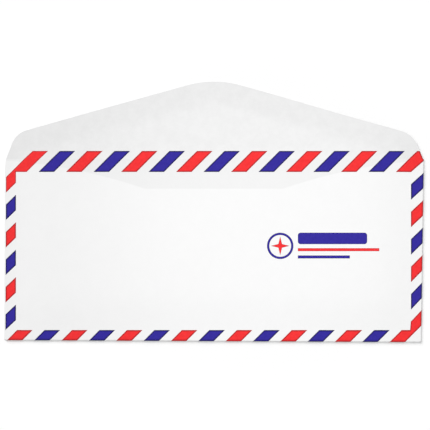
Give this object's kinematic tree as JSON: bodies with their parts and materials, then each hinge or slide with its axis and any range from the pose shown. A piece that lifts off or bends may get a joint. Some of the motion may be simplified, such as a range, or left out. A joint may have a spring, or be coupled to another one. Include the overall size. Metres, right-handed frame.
{
  "type": "paper envelope",
  "caption": "Long white paper envelope lying open, with a pointed flap, slanting glued seams behind, and a red and blue striped border.",
  "frame": {"origin": "on the back of the envelope, below the middle of the face panel, at the height of the table", "axes": "+X along the envelope's long side, +Y from the bottom fold towards the closing flap, +Z out of the printed face"},
  "size_m": [0.2412, 0.1497, 0.0012],
  "materials": {
    "paper": "matte",
    "gum": "gloss",
    "red_ink": "satin",
    "blue_ink": "satin"
  },
  "bodies": {
    "root": {"paper_sheet": "paper", "flap_gum": "gum", "red_border_print": "red_ink", "blue_border_print": "blue_ink", "red_mark_print": "red_ink", "blue_mark_print": "blue_ink"}
  },
  "joints": []
}
